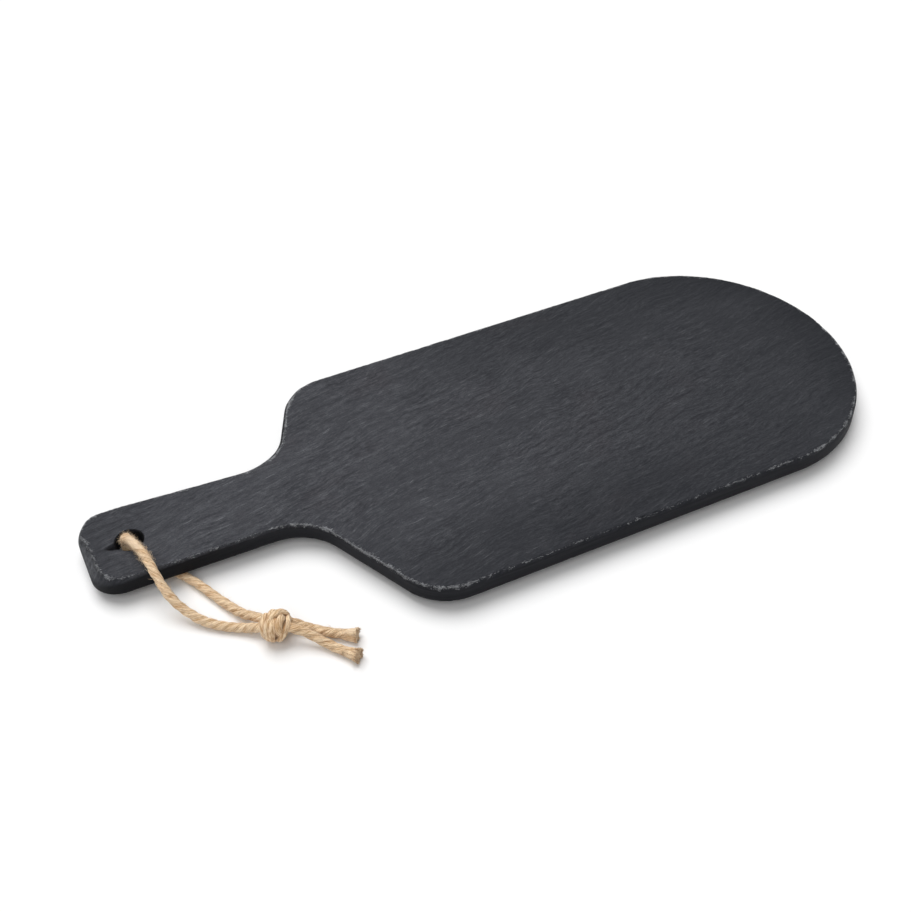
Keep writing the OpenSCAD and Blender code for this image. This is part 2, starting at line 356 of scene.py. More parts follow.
def sampled(grid, i, j):
    """Places of the grid at fractional rows and columns, by straight lines between its points."""
    low_i, low_j = np.floor(i).astype(int), np.floor(j).astype(int)
    u, v = (i - low_i)[:, None], (j - low_j)[:, None]
    near = grid[low_i, low_j] * (1 - u) + grid[low_i + 1, low_j] * u
    far = grid[low_i, low_j + 1] * (1 - u) + grid[low_i + 1, low_j + 1] * u
    return near * (1 - v) + far * v


def with_hole(grid, seed):
    """Turns the square rings of the grid round the hole into circles: the outer ring stays, the
    inner one has the radius of the hole and its chipped edge, and the rest lie in between."""
    outer = sampled(grid, hole_row + block_a * block_ring / block_s,
                    columns // 2 + block_b * block_ring / block_s)
    ray = unit(outer - hole)
    angle = np.arctan2(ray[:, 1], ray[:, 0])
    radius = hole_d / 2 + chipping(angle * hole_d / 2, seed, 0.3, 0.15)
    share = np.clip((block_s - hole_ring) / (block_ring - hole_ring), 0, 1)[:, None]
    circle = hole + ray * radius[:, None]
    grid[hole_row + block_a, columns // 2 + block_b] = circle + (outer - circle) * share
    return grid


def chipping(along, seed, plain, chip):
    """Size of the broken edge at each place along it: a plain width that wavers, and here and
    there a chip, which is a short bump where a slow and a quick noise are both high."""
    wave = 0.12 * noise(along / 7, 0, seed) + 0.1 * noise(along / 2.4, 0, seed + 1)
    chips = rise(noise(along / 11, 0, seed + 2), -0.1, 0.7)
    chips = chips * rise(noise(along / 3.1, 0, seed + 3), 0.1, 0.75)
    return plain * (1 + wave) + chip * chips


def grain(x, y):
    """How far across the grain a place lies: the ripples run 12 degrees off the board's axis and
    waver."""
    return y * math.cos(grain_turn) - x * math.sin(grain_turn) + 2.5 * noise(x / 45, y / 40, 5)


def riven(x, y, seed):
    """Depth of the split face below its highest plane, in millimetres: long low ripples along the
    grain, and the steps between the layers that the split ran through."""
    g = grain(x, y)
    ripples = 0.055 * noise(x / 34, g / 6.5, seed) + 0.04 * noise(x / 15, g / 3.4, seed + 1)
    layers = 1.6 * noise(x / 70, g / 17, seed + 2) + 0.5 * noise(x / 26, g / 6, seed + 3)
    step = np.floor(layers)
    steps = 0.1 * (step + rise(layers - step, 0.4, 0.6))
    return np.minimum(ripples + steps - 0.12, 0)


def cleft(x, y):
    """How far a place of the top face lies below the split, in millimetres, beside the hole: a
    wedge broken out from the hole towards the handle's end, and the lower layer on its near side.
    Gives the wedge's share and the depth."""
    t = (x + 187.8) / 5.6
    upper, lower = 12.5 + 1.6 * t, 12.3 - 2.3 * t
    wedge = rise(y, lower - 0.4, lower + 2.6 * t + 0.2) * (1 - rise(y, upper - 0.2, upper + 0.2))
    wedge = wedge * rise(t, 0, 0.5) * (1 - rise(t, 1.8, 2.1))
    layer = (1 - rise(y, 11.9, 12.6)) * rise(x, -195, -190) * (1 - rise(x, -178, -166))
    return wedge, 2.6 * wedge * rise(t, -0.1, 0.9) + 0.2 * layer * (1 - wedge)


def split_face(inset, seed, z, up):
    """One split face as its grid of points, of which the rim lies the inset in from the outline."""
    grid = with_hole(grid_in(outline - inset[:, None] * outward), seed + 7)
    return np.dstack([grid, z + up * riven(grid[..., 0], grid[..., 1], seed + 11)])


def bevelled(face_rim, low_rim, along, seed, shares):
    """Rows of points down a broken edge, from a face's rim to the wall, roughened between them."""
    rough = 0.05 + 0.02 * np.linalg.norm(face_rim - low_rim, axis=1)
    rows_made = [face_rim * (1 - t) + low_rim * t for t in shares]
    for k, row in enumerate(rows_made[:-1]):
        row += (rough * (noise(along / 0.9, 7 * k, seed)
                         + noise(along / 3.1, 5 * k, seed + 2)))[:, None]
    return rows_made


def edge_rows(top_rim, low_rim, place, depth_top, depth_low, along, seed):
    """Rows of points between the rims of the two faces: bevel, sawn wall, bevel."""
    top_edge = np.column_stack([place, top_z - depth_top])
    low_edge = np.column_stack([place, slate_z + depth_low])
    wall = [top_edge * (1 - t) + low_edge * t for t in (0.25, 0.5, 0.75)]
    return (bevelled(top_rim, top_edge, along, seed, bevel_shares) + wall
            + bevelled(low_rim, low_edge, along, seed + 1, (0.5, 1))[::-1])


def nearest(points, rim):
    """Distance of each point from the nearest point of the rim, seen from above, and which point
    of the rim that is."""
    apart = [((part[:, None, :2] - rim[None, :, :2]) ** 2).sum(2)
             for part in np.array_split(points, 60)]
    return (np.sqrt(np.concatenate([part.min(1) for part in apart])),
            np.concatenate([part.argmin(1) for part in apart]))


def strips(loops):
    """Quads between closed loops of points, of which each lies below the one before."""
    upper, lower = loops[:-1], loops[1:]
    return np.stack([lower, np.roll(lower, -1, 1), np.roll(upper, -1, 1), upper], 2).reshape(-1, 4)


# Distance along the outline from the near corner of the handle's end, negative on the end itself,
# where the edge is dressed by hand into a wide rough slope that runs out at both sides
from_corner = np.where(around < around[-1] / 2, around, around - around[-1] - steps[-1])
slope_depth = 5.6
slope_in, slope_down, light_slope = (
    np.interp(from_corner, [-46, -34, -25, -17, -9, -2, 7, 12, 18, 26, 45], sizes)
    for sizes in (
        [0, 0.4, 1.4, 2.6, 3.3, 3.6, 3.2, 2.6, 1.2, 0.8, 0.2],
        [0, 1.2, 3.6, 5.2, slope_depth, slope_depth, 4.4, 2.8, 1.1, 0.5, 0.2],
        [0, 0.3, 0.8, 1, 1, 0.9, 0.25, 0.05, 0, 0, 0],
    )
)
on_near_side = rise(-outward[:, 1], 0.2, 0.8)
on_far_side = rise(outward[:, 1], 0.1, 0.6)
on_shoulders = rise(-outward[:, 0], 0.3, 0.8) * rise(outline[:, 0], -110, -100)
on_far_shoulder = on_shoulders * (outline[:, 1] > 0)
on_tip = rise(outline[:, 0], 95, 150) * (1 - rise(outline[:, 1], -20, 30))
jagged = slope_in * (0.16 * noise(around / 1.7, 0, 27) + 0.12 * noise(around / 4.1, 0, 28))
top_in = slope_in + jagged + 1.1 * on_far_shoulder
top_in += chipping(around, 20, 0.18 + 0.4 * np.maximum(on_near_side, on_far_side),
                   0.25 + 0.5 * on_far_shoulder)
top_face = split_face(top_in, 20, top_z, 1)
top_depth = slope_down + chipping(
    around, 24, 0.4 + 0.8 * np.maximum(on_near_side, on_far_shoulder), 0.3
)
low_face = split_face(chipping(around, 40, 0.12, 0.15), 40, slate_z, -1)
low_depth = chipping(around, 44, 0.12, 0.1)
in_cleft, sunk = cleft(top_face[..., 0], top_face[..., 1])
top_face[..., 2] -= sunk
size = rows * (columns + 1)
index = np.arange(size).reshape(rows, columns + 1)
rim = loop_of(index)
hole_rim = index[hole_row + hole_a, columns // 2 + hole_b]
top_points, low_points = top_face.reshape(-1, 3), low_face.reshape(-1, 3)
side_rows = edge_rows(top_points[rim], low_points[rim], outline, top_depth, low_depth, around, 60)
hole_angle = np.arctan2(top_points[hole_rim, 1] - hole[1], top_points[hole_rim, 0] - hole[0])
hole_along = hole_angle * hole_d / 2
hole_place = hole + hole_d / 2 * np.column_stack([np.cos(hole_angle), np.sin(hole_angle)])
hole_cleft = in_cleft[hole_row + hole_a, columns // 2 + hole_b]
hole_top_depth = chipping(hole_along, 71, 0.3, 0.15) + 2.6 * hole_cleft
hole_low_depth = chipping(hole_along, 72, 0.3, 0.15)
bore_rows = edge_rows(top_points[hole_rim], low_points[hole_rim], hole_place, hole_top_depth,
                      hole_low_depth, hole_along, 70)
slate_points = np.concatenate([top_points, low_points, *side_rows, *bore_rows])
side_loops = 2 * size + np.arange(len(side_rows) * len(rim)).reshape(len(side_rows), -1)
bore_loops = side_loops.max() + 1 + np.arange(len(bore_rows) * len(hole_rim)).reshape(
    len(bore_rows), -1)
cells = np.stack([index[:-1, :-1], index[1:, :-1], index[1:, 1:], index[:-1, 1:]], 2)
cell_a, cell_b = np.meshgrid(np.arange(rows - 1) + 0.5 - hole_row,
                             np.arange(columns) + 0.5 - columns // 2, indexing="ij")
cells = cells[np.maximum(np.abs(cell_a), np.abs(cell_b)) > hole_ring]
slate_faces = np.concatenate([
    cells,
    cells[:, ::-1] + size,
    strips(np.concatenate([rim[None], side_loops, rim[None] + size])),
    strips(np.concatenate([hole_rim[None], bore_loops, hole_rim[None] + size]))[:, ::-1],
])

# For the material: how far a point lies from the nearest rim, which points are on the sawn wall,
# on the dressed slope and in the cleft, and how worn the edge is: most at its bends, the shoulders,
# the handle's end and the tip, and not at all in the hole. The side and the bore each have 11 rows
# of points: six down the upper bevel, three on the wall and two on the lower bevel
upper_bevel = np.outer(bevel_shares, np.hypot(top_in, top_depth))
side_edge = np.concatenate([upper_bevel, np.array([3, 3, 3, 1, 0.5])[:, None] + 0 * around])
wall_rows = np.array([0, 0, 0.05, 0.15, 0.4, 0.85, 1, 1, 1, 0.8, 0.3])[:, None]
far_wall_rows = np.array([0, 0.3, 0.7, 1, 1, 1, 1, 1, 1, 0.8, 0.3])[:, None]
side_wall = np.maximum(wall_rows, far_wall_rows * np.maximum(on_far_side, on_far_shoulder))
side_slope = np.array([1, 1, 1, 1, 1, 0.75, 0.4, 0.15, 0, 0, 0])[:, None] * light_slope
bends = np.linalg.norm(np.roll(heading, -1, 0) - np.roll(heading, 1, 0), axis=1) / steps
bends = np.convolve(np.tile(np.clip(bends * 19, 0, 1), 3), np.ones(25) / 25, "same")
side_worn = np.maximum.reduce([
    bends[len(rim):2 * len(rim)], slope_down / slope_depth, on_shoulders, 0.85 * on_tip,
    0.3 * on_near_side, 0.3 * on_far_side,
])
both_rims = np.append(rim, hole_rim)
rim_worn = np.append(side_worn, np.repeat(-1.0, len(hole_rim)))
top_apart, top_at = nearest(top_points, top_points[both_rims])
low_apart, low_at = nearest(low_points, low_points[both_rims])
bore_size = len(side_edge) * len(hole_rim)
slate_edge = np.concatenate([top_apart, low_apart, side_edge.ravel(), np.full(bore_size, 1.0)])
slate_wall = np.concatenate([
    np.zeros(2 * size), (side_wall * (1 - side_slope)).ravel(), np.full(bore_size, 0.8)
])
slate_slope = np.concatenate([np.zeros(2 * size), side_slope.ravel(), np.zeros(bore_size)])
slate_worn = np.concatenate([
    rim_worn[top_at], 0.3 * rim_worn[low_at], np.tile(side_worn, 7), np.tile(0.3 * side_worn, 4),
    np.full(bore_size, -1.0),
])
# The cleft's share also paints shade there, and down the bore under it that painted shade fades
slate_cleft = np.concatenate([
    in_cleft.ravel(), np.zeros(size + side_edge.size),
    (np.linspace(1, 0, len(side_edge))[:, None] * hole_cleft).ravel(),
])
used = np.unique(slate_faces)
renumbered = np.zeros(len(slate_points), int)
renumbered[used] = np.arange(len(used))


def layered(colour, *layers):
    """The colour, over which each layer's own colour is laid in turn by the layer's share."""
    for share, tone in layers:
        colour = share.mixed(colour, tone)
    return colour


slate_material, shader, start = new_material("riven_slate")
place = start.node("TexCoord", out=3)
x, y, z = place.node("SeparateXYZ", None, {0: place}).outputs(0, 1, 2)
edge, wall, slope, worn, cleft_shade = (
    start.node("Attribute", {"attribute_name": name}, out=2)
    for name in ("edge", "wall", "slope", "worn", "cleft")
)
drift = place.noise((22, 26, 22), 2)
cosine, sine = math.cos(grain_turn), math.sin(grain_turn)
across_grain = y * cosine - x * sine + drift * 0.012 + place.noise((80, 120, 80), 2) * 0.0022
along_grain = place.node("CombineXYZ", None, {0: x * cosine + y * sine, 1: across_grain, 2: 0.0})
ripples = along_grain.noise((50, 330, 1), 3, 0.55)
streaks = along_grain.noise((250, 1000, 1), 4, 0.7)
hairlines = along_grain.noise((110, 1900, 1), 2, 0.6)
grit = place.noise((1300, 1500, 1300), 2, 0.7)
clouds = place.noise((16, 24, 16), 3, 0.55)
tints = place.noise((30, 40, 30), 2)
strong = place.noise((26, 34, 26), 2).between(0.35, 0.65) * 0.5 + 0.6
crumbs = place.noise((1000, 2300, 2300), 3, 0.75)
patches = place.noise((260, 260, 260), 2)
wear = worn * 0.22 - edge * 0.2
broken = (crumbs * 1.1 + patches * 0.8 + wear).between(1.0, 1.14)
# Painted shade: the face is darker towards the tip, at the handle's end and in places along both
# sides, for the light that falls off across the board
shade = ((x + drift * 0.05).between(-0.085, 0.2) * 0.5 + x.between(0.15, 0.2) * 0.3
         + (1 - (x + drift * 0.03).between(-0.185, -0.135)) * 0.26
         + y.between(0.025, 0.065) * x.between(-0.05, 0.02) * (1 - x.between(0.06, 0.13)) * 0.22
         + y.between(0.03, 0.07) * x.between(0.08, 0.14) * 0.26
         + (0 - y).between(0.025, 0.07) * (1 - x.between(0, 0.14) * 0.85) * 0.38)
sawn = place.noise((60, 60, 900), 2).between(0.3, 0.7)
dressed = place.noise((420, 420, 700), 4, 0.75).between(0.3, 0.72)
colour = layered(
    clouds.between(0.3, 0.7).mixed((0.0428, 0.0443, 0.0514), (0.0605, 0.0624, 0.071)),
    # Purplish stains, dark and light ripples, dark and light streaks, hairlines and dark grit
    (tints.between(0.55, 0.8) * 0.4, (0.051, 0.045, 0.051)),
    ((1 - ripples.between(0.34, 0.5)) * strong * 0.46, (0.018, 0.0187, 0.0235)),
    (ripples.between(0.5, 0.7) * strong * 0.36, (0.106, 0.109, 0.121)),
    ((1 - streaks.between(0.36, 0.5)) * strong * 0.52, (0.015, 0.0157, 0.0195)),
    (streaks.between(0.5, 0.68) * strong * 0.5, (0.12, 0.123, 0.136)),
    (hairlines.between(0.58, 0.7) * ripples.between(0.45, 0.62) * 0.72, (0.185, 0.19, 0.204)),
    ((1 - grit.between(0.35, 0.6)) * 0.42, (0.016, 0.0167, 0.0205)),
    # Painted shade over the faces, for the falloff of the light
    (shade, (0.0008, 0.0018, 0.0042)),
    # The sawn wall, dark partly as smooth sawn stone and partly as painted shade for the little
    # light it gets, and darker at its foot and along the handle
    (wall, sawn.mixed((0.0092, 0.0097, 0.0125), (0.016, 0.0165, 0.0202))),
    (wall * (1 - z.between(0.004, 0.0115)) * 0.4, (0.002, 0.002, 0.0025)),
    (wall * (1 - x.between(-0.16, -0.11)) * 0.6, (0.001, 0.001, 0.0012)),
    # The dressed slope and the dark line along it
    (slope, dressed.mixed((0.031, 0.0325, 0.037), (0.105, 0.108, 0.117))),
    (slope * edge.between(0.8, 1.3) * (1 - edge.between(1.5, 2.4)) * 0.45, (0.01, 0.01, 0.012)),
    # Light broken stone with bright crumbs on the edges, and in the cleft dark fresh stone under
    # painted shade
    (broken * 0.9, (0.2, 0.206, 0.218)),
    (broken * crumbs.between(0.5, 0.68) * 0.8, (0.43, 0.44, 0.455)),
    # Painted shade in the cleft, over its dark fresh stone
    (cleft_shade * 0.85, (0.003, 0.003, 0.0035)),
)
relief = ripples * 1.2 + streaks * 0.6 + hairlines * 0.15 + grit * 0.1 + broken * crumbs * 0.6
connect(shader, Base_Color=colour, Roughness=0.62 + clouds * 0.1, Specular_IOR_Level=0.12,
        Normal=(relief * (1 - wall * 0.8)).raised(1.0, 0.0006))
slate = new_piece("slate", slate_points[used], [renumbered[slate_faces]], slate_material, "slate",
                  edge=slate_edge[used], wall=slate_wall[used], slope=slate_slope[used],
                  worn=slate_worn[used], cleft=slate_cleft[used])
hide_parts("slate_board")

# Adhesive discs: die-cut from double-sided acrylic foam, they hold the feet to the slate. Their
# CAD solids have the right shape and stay.
foam_material, shader, start = new_material("adhesive_foam")
foam = start.node("TexCoord", out=3).noise((2600, 2600, 2600), 2)
connect(shader, Base_Color=foam.between(0.3, 0.7).mixed((0.50, 0.50, 0.45), (0.68, 0.68, 0.62)),
        Roughness=0.7, Normal=foam.raised(0.4, 0.0001))
foot_names = ("left_shoulder", "right_shoulder", "left_tip", "right_tip")
for name in foot_names:
    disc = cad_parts["adhesive_disc_" + name]
    disc.data.materials.clear()
    disc.data.materials.append(foam_material)

# Feet: moulded of black rubber, each stuck under the slate with its disc. A foot has a rounded
# lower edge, a shallow cup in its sole and the nub of the mould's gate in the middle of the cup.
foot_d, foot_h, foot_edge_r = 12.0, 4.6, 2.0
shoulder_foot_in, tip_foot_in, shoulder_foot_edge, tip_foot_edge = 160.0, 62.0, 22.0, 30.0
foot_places = [
    (handle_end_x + shoulder_foot_in, board_w / 2 - shoulder_foot_edge),
    (handle_end_x + shoulder_foot_in, shoulder_foot_edge - board_w / 2),
    (board_l / 2 - tip_foot_in, board_w / 2 - tip_foot_edge),
    (board_l / 2 - tip_foot_in, tip_foot_edge - board_w / 2),
]


def closed_tube(points):
    """Quads and end triangles over rows of points round a tube, whose two last points are the
    middles of its first and last end."""
    count, sides = points.shape[:2]
    loops = np.arange(count * sides).reshape(count, sides)
    ends = [np.stack([0 * loop + pole, loop, np.roll(loop, -1)], 1)
            for loop, pole in ((loops[0][::-1], count * sides), (loops[-1], count * sides + 1))]
    return [strips(loops)[:, ::-1], np.concatenate(ends)]


def turned(profile, place, sides):
    """A closed surface: the profile of radii and heights carried round the place. The first and
    the last point of the profile lie on the axis."""
    angle = 2 * np.pi * np.arange(sides) / sides
    radius, height = np.array(profile[1:-1]).T
    rings = np.stack([radius[:, None] * np.cos(angle), radius[:, None] * np.sin(angle),
                      height[:, None] + 0 * angle], 2)
    points = np.vstack([rings.reshape(-1, 3), [0, 0, profile[0][1]], [0, 0, profile[-1][1]]])
    return points + [*place, 0], [f[:, ::-1] for f in closed_tube(rings)]


rubber_material, shader, start = new_material("black_rubber")
place = start.node("TexCoord", out=3)
grime = place.noise((300, 300, 500), 3)
skin = place.noise((3500, 3500, 3500), 2)
colour = grime.between(0.35, 0.7).mixed((0.010, 0.010, 0.011), (0.022, 0.022, 0.023))
connect(shader, Base_Color=colour, Roughness=0.5 + grime * 0.2, Specular_IOR_Level=0.35,
        Normal=skin.raised(0.3, 0.0001))
# From the middle of the top over its worn edge, the mould's parting line and the rounded lower
# edge into the cup
arc = [(foot_d / 2 - foot_edge_r + foot_edge_r * math.sin(a),
        foot_edge_r - foot_edge_r * math.cos(a)) for a in np.linspace(0, np.pi / 2, 9)]
foot_profile = [
    (0, foot_h), (3.0, foot_h), (5.7, foot_h), (5.94, foot_h - 0.08), (6.0, foot_h - 0.3),
    (6.0, 3.3), (5.94, 3.2), (5.94, 3.0), (6.0, 2.9), *arc[::-1], (3.4, 0.02), (3.1, 0.14),
    (2.6, 0.3), (1.2, 0.34), (0.75, 0.34), (0.62, 0.2), (0, 0.17),
]
for name, spot in zip(foot_names, foot_places):
    points, faces = turned(foot_profile, spot, 48)
    foot = new_piece("foot_" + name + "_rubber", points, faces, rubber_material, "foot_rubber")
    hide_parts("foot_" + name)

# Jute cord: three strands laid left-handed, 4.6 mm thick, threaded through the hole. One leg comes
# up and lies over the handle's edge, the other runs under the handle; both end in the knot.
cord_d, row_step, cord_columns = 4.6, 0.4, 72
strand_r, strand_out, laid_r = 0.74, 0.26, 2.16
fibre_joints, fibre_reach, least_z = 6, 4.85, 0.05
level_hint = np.array([1, 0.4, 0])
upper_leg_route = [
    (-177, 16.1, 9.1), (-176.95, 15.75, 11.1), (-176.75, 14.8, 13), (-176.3, 13, 14.6),
    (-175.5, 10.5, 15.75), (-174.4, 7.1, 16.2), (-173.35, 3.7, 16.1), (-172.4, 0, 15.9),
    (-171.8, -4, 15.8), (-171.3, -8, 15.55), (-170.9, -12.2, 14.9), (-170.2, -16.4, 13.3),
    (-169.2, -21, 11.05), (-167.6, -25.4, 8.6), (-165.2, -29.8, 6.3), (-162, -34.3, 4.4),
    (-158.2, -38.8, 3), (-153.6, -43.1, 2.5), (-148.5, -46.9, 2.4), (-143.5, -50.3, 3),
    (-139, -53.7, 4.4), (-136, -56, 5.6),
]
lower_leg_route = [
    (-177, 15.9, 9.1), (-177, 15.5, 7.2), (-176.9, 14.5, 5.4), (-176.6, 12.8, 3.9),
    (-175.9, 10.6, 2.8), (-174, 7.6, 2.4), (-170.6, 4.6, 2.4), (-166.4, 1.3, 2.4),
    (-162.3, -3, 2.4), (-158.3, -8.8, 2.4), (-155.5, -13.7, 2.4), (-153.3, -18.3, 2.4),
    (-151.2, -23, 2.4), (-149.1, -27.8, 2.4), (-147, -32.4, 2.4), (-144.6, -37.3, 2.6),
    (-141.6, -43, 3.4), (-137.2, -48.9, 5), (-135, -52.5, 5.8),
]


def smooth_route(route, step):
    """Points a step apart on the curve through the route, and how far along it they lie. Each
    stretch is a cubic that heads, at its ends, the way its neighbours lie."""
    p = np.array(route)
    gap = np.linalg.norm(np.diff(p, axis=0), axis=1)
    at = np.append(0, np.cumsum(gap))
    slope = np.gradient(p, at, axis=0)
    fine = np.linspace(0, at[-1], int(at[-1] / 0.05))
    k = np.clip(np.searchsorted(at, fine, side="right") - 1, 0, len(gap) - 1)
    t, g = ((fine - at[k]) / gap[k])[:, None], gap[k][:, None]
    curve = ((1 + 2 * t) * (1 - t) ** 2 * p[k] + t * (1 - t) ** 2 * g * slope[k]
             + t * t * (3 - 2 * t) * p[k + 1] + t * t * (t - 1) * g * slope[k + 1])
    length = run_lengths(curve)
    along = np.linspace(0, length[-1], round(length[-1] / step) + 1)
    return np.stack([np.interp(along, length, curve[:, a]) for a in range(3)], 1), along


def laid_cord(route, lays, phase, seed, frayed=False, swelling=0.0):
    """The surface of a three-strand cord along a route. Round the middle line, the radius is that
    of three round strands of radius strand_r, strand_out from it, in shares of laid_r. They turn
    left-handed once in the first of lays at the start and in the second at the end; yarns raise
    fine ridges along the strands. A frayed cord untwists and flares into tufts at its end, and
    swelling opens the bend at the hole and hides its lay. Gives the points, the faces, the place
    of each point on the cord laid out straight and untwisted, its depth in the grooves, and the
    middle line."""
    spine, s = smooth_route(route, row_step)
    along = unit(np.gradient(spine, axis=0))
    side = unit(level_hint - along * (along @ level_hint)[:, None])
    up = np.cross(along, side)
    angle = 2 * np.pi * np.arange(cord_columns) / cord_columns
    fray = frayed * rise(s, s[-1] - 8, s[-1] - 3)
    twist = (1 / lays[0] + (1 / lays[1] - 1 / lays[0]) * s / s[-1]) * (1 - 0.9 * fray)
    turned_by = np.cumsum(twist) * row_step
    local = angle[None, :] + 2 * np.pi * turned_by[:, None] - phase
    third = 2 * np.pi / 3
    off = (local + third / 2) % third - third / 2
    shape = strand_out * np.cos(off) + np.sqrt(strand_r ** 2 - (strand_out * np.sin(off)) ** 2)
    # Painted shade: the depth in the grooves between the strands darkens the colour there
    groove = (1 - shape) / (1 - shape.min())
    turns = local / (2 * np.pi)
    yarns = noise(s[:, None] / 9, turns * 36, seed, 36)
    yarns += 0.6 * noise(s[:, None] / 5, turns * 66, seed + 1, 66)
    swell = 1 + 0.04 * noise(s / 9, 0, seed + 2) + swelling * np.exp(-((s - 5) / 3) ** 2)
    swell -= 0.1 * np.exp(-((s - 12) / 6) ** 4) * (swelling > 0)
    swell *= 1 + 0.36 * frayed * rise(s, s[-1] - 8, s[-1] + 1)
    fray = fray[:, None]
    tufts = noise(s[:, None] / 30, turns * 11, seed + 4, 11)
    smooth = np.maximum(np.exp(-(s / 13) ** 4)[:, None] * (swelling > 0), fray)
    shape += (1 - shape) * 0.6 * smooth + 0.09 * tufts * fray
    radius = laid_r * shape * swell[:, None] + (0.1 + 0.08 * fray) * yarns
    groove = groove * (1 - 0.85 * smooth) + (0.15 - 0.9 * tufts) * fray
    # Painted shade in and near the hole, and a painted highlight on the leg's top beyond the bend
    if swelling:
        groove += (1.1 * np.exp(-(s / 7.5) ** 4) - 0.9 * np.exp(-((s - 15) / 5) ** 2))[:, None]
    ring = side[:, None] * np.cos(angle)[:, None] + up[:, None] * np.sin(angle)[:, None]
    points = spine[:, None] + radius[..., None] * ring
    straight = np.stack([s[:, None] + 0 * local, cord_d / 2 * np.cos(local),
                         cord_d / 2 * np.sin(local)], 2)
    faces = closed_tube(points)
    points = np.vstack([points.reshape(-1, 3), spine[0], spine[-1]])
    points[:, 2] = np.maximum(points[:, 2], least_z)
    straight = np.vstack([straight.reshape(-1, 3), [0, 0, 0], [s[-1], 0, 0]])
    # The last cap is paler: painted light on a cut end
    groove = np.append(groove.ravel(), [0.5, -0.6])
    return points, faces, straight, groove, spine


def fibres(starts, ways, bends, thickness, taper=0.75):
    """Loose fibres as thin three-sided tubes: each starts at its place, runs its way, bends off
    with the square of the distance, and tapers. A way and a bend have the fibre's length."""
    t = np.linspace(0, 1, fibre_joints)[None, :, None]
    spine = starts[:, None] + t * ways[:, None] + t * t * bends[:, None]
    along = unit(np.gradient(spine, axis=1))
    side = unit(np.cross(along, np.array([0.31, 0.52, 0.79])))
    up = np.cross(along, side)
    angle = (2 * np.pi * np.arange(3) / 3)[:, None]
    ring = side[:, :, None] * np.cos(angle) + up[:, :, None] * np.sin(angle)
    radius = (thickness[:, None, None, None] / 2) * (1 - taper * t[..., None])
    points = (spine[:, :, None] + radius * ring).reshape(-1, 3)
    loops = np.arange(len(points)).reshape(len(starts), fibre_joints, 3)
    low, high = loops[:, :-1], loops[:, 1:]
    quads = np.stack([low, np.roll(low, -1, 2), np.roll(high, -1, 2), high], 3).reshape(-1, 4)
    ends = np.concatenate([loops[:, 0, ::-1], loops[:, -1]])
    return points, [quads, ends]


def joined(parts):
    """Several (points, faces, straight, groove) as one: their faces are numbered on."""
    points, faces, straight, groove = zip(*parts)
    starts = np.cumsum([0] + [len(p) for p in points])
    return (np.concatenate(points), [f + start for part, start in zip(faces, starts) for f in part],
            np.concatenate(straight), np.concatenate(groove))


def fuzz(points, straight, spine, count, seed, first, last):
    """Stray fibres that stand off the cord's surface between two distances along it, as joined()
    takes them. Their tips stay within fibre_reach of the middle line."""
    random = np.random.default_rng(seed)
    picks = random.choice(np.nonzero((straight[:, 0] > first) & (straight[:, 0] < last))[0], count)
    base = points[picks]
    row = np.clip((straight[picks, 0] / row_step).astype(int), 0, len(spine) - 2)
    middle = spine[row]
    out, along = unit(base - middle), unit(spine[row + 1] - middle)
    spare = fibre_reach - np.linalg.norm(base - middle, axis=1)[:, None]
    length = np.minimum(random.uniform(1.4, 3.4, (count, 1)), spare * 0.95)
    ways = along * random.choice([-1, 1], (count, 1)) + out * random.uniform(0.2, 1.1, (count, 1))
    ways = unit(ways) * length
    bends = length * np.clip(random.normal(0, 0.16, (count, 3)), -0.2, 0.2)
    tops, faces = fibres(base - 0.1 * out, ways, bends, random.uniform(0.07, 0.13, count))
    laid_out = np.repeat(straight[picks], 3 * fibre_joints, axis=0) + [0, 2, 2]
    return tops, faces, laid_out, np.zeros(len(tops)) - 0.5


jute_material, shader, start = new_material("natural_jute")
straight = start.node("Attribute", {"attribute_name": "straight"}, out=1)
groove = start.node("Attribute", {"attribute_name": "groove"}, out=2)
threads = straight.noise((0.24, 1.8, 1.8), 4, 0.75)
specks = straight.noise((0.7, 3.4, 3.4), 2, 0.6)
stains = straight.noise((0.16, 0.5, 0.5), 2)
# Over the threads lie stains and dark specks, then painted shade in the grooves, the knot's
# crevices and the hole, and a paler colour: painted light on the legs and the cut ends, and light
# loose fibres
colour = layered(
    threads.between(0.4, 0.57).mixed((0.55, 0.32, 0.15), (1.0, 0.79, 0.54)),
    (stains.between(0.4, 0.75) * 0.35, (0.76, 0.49, 0.26)),
    (specks.between(0.56, 0.66) * 0.65, (0.34, 0.165, 0.065)),
    # Painted shade in the grooves, the crevices of the knot and the hole
    (groove.between(0.5, 1.0) * 0.6, (0.30, 0.145, 0.055)),
    # Painted light on the legs and the cut ends, and light loose fibres
    ((0 - groove).between(0.0, 1.0) * 0.7, (1.0, 0.82, 0.61)),
)
connect(shader, Base_Color=colour, Roughness=0.85, Specular_IOR_Level=0.25, Sheen_Weight=0.15,
        Normal=(threads + specks * 0.5).raised(1.0, 0.0004))


def jute_piece(node, parts, lowest):
    """The parts as one jute mesh in place of the CAD node, with no point below the lowest."""
    points, faces, straight, groove = joined(parts)
    points[:, 2] = np.maximum(points[:, 2], lowest)
    piece = new_piece(node + "_jute", points, faces, jute_material, "jute",
                      straight=straight, groove=groove)
    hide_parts(node)
    return piece


